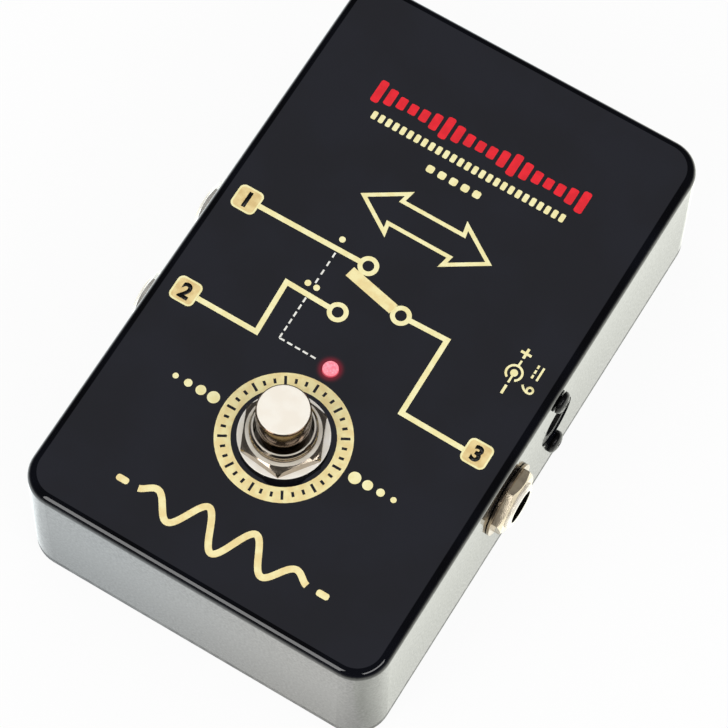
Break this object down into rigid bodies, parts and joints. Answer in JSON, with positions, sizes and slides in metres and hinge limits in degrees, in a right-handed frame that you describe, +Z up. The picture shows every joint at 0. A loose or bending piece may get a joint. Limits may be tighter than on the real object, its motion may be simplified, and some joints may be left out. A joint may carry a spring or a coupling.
{
  "type": "foot-operated signal switch box",
  "caption": "Flat die-cast foot switch box that sends a signal one way or the other: button and indicator on top, plug jacks and power socket in the sides.",
  "frame": {"origin": "on the floor, under the middle of the case", "axes": "+Z up, +Y away from the player (the far end of the case), +X to the player's right, out of the wall with one signal jack and the power socket"},
  "size_m": [0.0782, 0.1184, 0.0451],
  "materials": {
    "case_paint": "high-gloss navy-black paint with a fine orange peel, printed in pale gold, tan, red and white",
    "cover_paint": "satin black paint",
    "zinc_plate": "zinc-plated",
    "foot_rubber": "matt",
    "nickel": "bright nickel plate",
    "chrome": "bright chrome plate",
    "phenolic": "dark brown phenolic",
    "white_nylon": "natural nylon",
    "spring_steel": "bright drawn wire",
    "silvered_copper": "silver-plated",
    "lamp_lens": "clear diffused lens, lit pinkish red",
    "tinned_wire": "tinned",
    "board_green": "solder mask over glass laminate",
    "resistor_coat": "lacquer",
    "black_plastic": "moulded, semi-matt",
    "black_screw": "black oxide",
    "brass_rivet": "plain",
    "wire_yellow": "insulation",
    "wire_blue": "insulation",
    "wire_white": "insulation",
    "wire_black": "insulation",
    "wire_red": "insulation"
  },
  "bodies": {
    "case": {"case_shell": "case_paint", "base_plate": "cover_paint", "base_screws": "zinc_plate", "rubber_feet": "foot_rubber", "switch_bush": "nickel", "switch_housing": "phenolic", "switch_strap": "nickel", "switch_spring": "spring_steel", "switch_lugs": "silvered_copper", "switch_washer": "nickel", "switch_nut": "nickel", "switch_inner_nut": "nickel", "switch_lock_washer": "nickel", "led_lens": "lamp_lens", "led_leads": "tinned_wire", "circuit_board": "board_green", "led_resistor": "resistor_coat", "dc_jack_housing": "black_plastic", "dc_jack_pin": "nickel", "dc_jack_lugs": "tinned_wire", "dc_jack_screws": "black_screw", "dc_jack_nuts": "zinc_plate", "wire_a": "wire_yellow", "wire_b": "wire_blue", "wire_c": "wire_white", "wire_ground": "wire_black", "wire_dc_plus": "wire_red", "wire_dc_minus": "wire_black", "jack_a_frame": "nickel", "jack_a_wafers": "phenolic", "jack_a_rivets": "brass_rivet", "jack_a_tip_contact": "silvered_copper", "jack_a_washer": "nickel", "jack_a_nut": "nickel", "jack_b_frame": "nickel", "jack_b_wafers": "phenolic", "jack_b_rivets": "brass_rivet", "jack_b_tip_contact": "silvered_copper", "jack_b_washer": "nickel", "jack_b_nut": "nickel", "jack_c_frame": "nickel", "jack_c_wafers": "phenolic", "jack_c_rivets": "brass_rivet", "jack_c_tip_contact": "silvered_copper", "jack_c_washer": "nickel", "jack_c_nut": "nickel"},
    "button": {"switch_cap": "chrome", "switch_pusher": "white_nylon"},
    "rocker": {"switch_rocker": "white_nylon"},
    "blades": {"switch_blades": "silvered_copper"}
  },
  "joints": [
    {"name": "button_press", "type": "slide", "parent": "case", "child": "button", "axis": [0, 0, -1], "range_m": [0, 0.0038], "stiffness_N_per_m": 2500, "springref_m": -0.003, "deforming": ["switch_spring"]},
    {"name": "rocker_tilt", "type": "hinge", "parent": "case", "child": "rocker", "pos_m": [-0.0006, -0.0273, 0.017], "axis": [1, 0, 0], "range_deg": [-24, 0]},
    {"name": "blades_tilt", "type": "hinge", "parent": "case", "child": "blades", "pos_m": [-0.0006, -0.0273, 0.0141], "axis": [1, 0, 0], "range_deg": [0, 12]}
  ],
  "couplings": [
    {"joint": "blades_tilt", "follows": "rocker_tilt", "ratio": -0.5}
  ]
}
